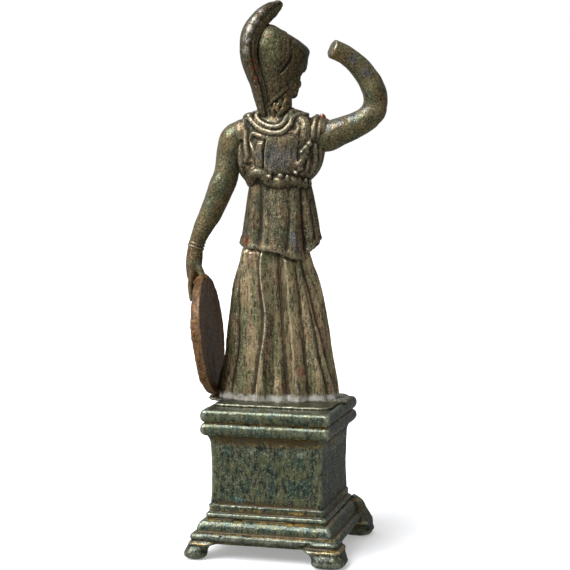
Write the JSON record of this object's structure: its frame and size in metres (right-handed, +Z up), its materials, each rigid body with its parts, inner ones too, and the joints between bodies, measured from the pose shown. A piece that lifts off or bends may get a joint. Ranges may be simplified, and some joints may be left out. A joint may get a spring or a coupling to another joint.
{
  "type": "goddess statuette on plinth",
  "caption": "Small cast bronze of a helmeted goddess in a long folded dress, right arm raised and broken off, shield at her left side, on a square moulded plinth with flared feet.",
  "frame": {"origin": "middle of the underside of the whole object's box, on the plane the four feet stand on", "axes": "+Z up, the plinth's sides along X and Y, the goddess faces -Y turned 7 degrees, her left side is +X"},
  "size_m": [0.0552, 0.0448, 0.1498],
  "materials": {
    "figure_bronze": "satin bronze with a brown-green patina and golden wear on the high spots",
    "plinth_bronze": "dark blue-green patina, rubbed golden along the moulding edges"
  },
  "bodies": {
    "root": {"athena_figure": "figure_bronze", "plinth": "plinth_bronze"}
  },
  "joints": []
}
